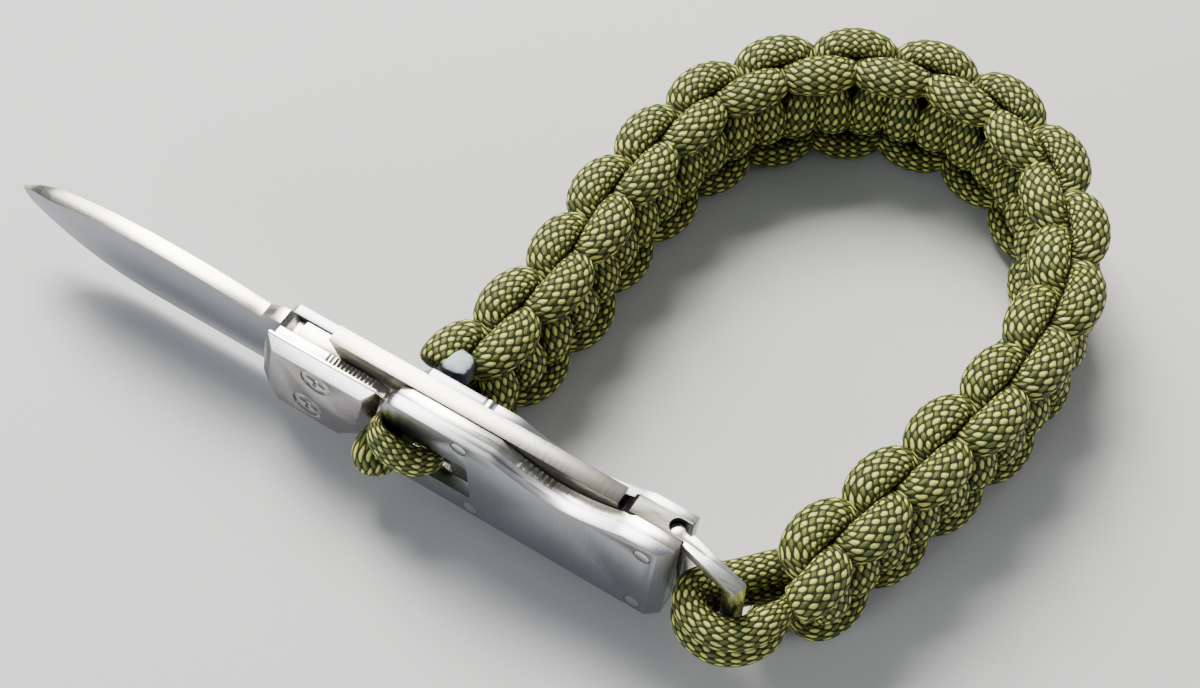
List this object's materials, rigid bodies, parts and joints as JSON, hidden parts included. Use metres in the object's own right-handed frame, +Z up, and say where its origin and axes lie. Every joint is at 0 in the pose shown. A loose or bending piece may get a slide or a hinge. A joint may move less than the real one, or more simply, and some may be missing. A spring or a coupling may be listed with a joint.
{
  "type": "paracord bracelet",
  "caption": "Wrist bracelet of knotted braided cord, closed by a flat steel folding-knife clasp with a lock bar and a bail.",
  "frame": {"origin": "on the surface that the bracelet stands on, below the middle of its overall length and depth", "axes": "+X along the clasp, from the blade's tip to the bail; +Y from the clasp to the far side of the band; +Z up, across the band's width"},
  "size_m": [0.1144, 0.081, 0.0175],
  "materials": {
    "bolster_steel": "brushed along its length, polished bevel",
    "liner_steel": "satin",
    "plate_steel": "fine upright brushing on the face",
    "blade_steel": "satin, with fine cross scratches on the spine",
    "fastener_steel": "turned and polished",
    "lock_steel": "satin",
    "block_steel": "dull satin",
    "bail_steel": "satin",
    "cord": "tight round braid, olive with pale flecks",
    "melted_cord": "melted and crushed end"
  },
  "bodies": {
    "bracelet": {"front_bolster": "bolster_steel", "front_liner": "liner_steel", "front_plate": "plate_steel", "back_plate": "plate_steel", "pivot_pin": "fastener_steel", "lock_pin": "fastener_steel", "end_block": "block_steel", "end_rivet_upper": "fastener_steel", "end_rivet_lower": "fastener_steel", "front_rivet": "fastener_steel", "bolster_screw_upper": "fastener_steel", "bolster_screw_lower": "fastener_steel", "bail": "bail_steel", "core_cord": "cord", "outer_weave_cord": "cord", "inner_weave_cord": "cord", "front_cord_turn": "cord", "cord_end": "melted_cord"},
    "blade": {"blade": "blade_steel"},
    "lock_bar": {"lock_bar": "lock_steel"}
  },
  "joints": [
    {"name": "blade_fold", "type": "hinge", "parent": "bracelet", "child": "blade", "pos_m": [-0.01488, -0.03288, 0.008], "axis": [0, -1, 0], "range_deg": [0, 180]},
    {"name": "lock_bar_press", "type": "hinge", "parent": "bracelet", "child": "lock_bar", "pos_m": [0.00752, -0.03288, 0.01585], "axis": [0, 1, 0], "range_deg": [0, 3], "stiffness_Nm_per_rad": 0.02}
  ]
}
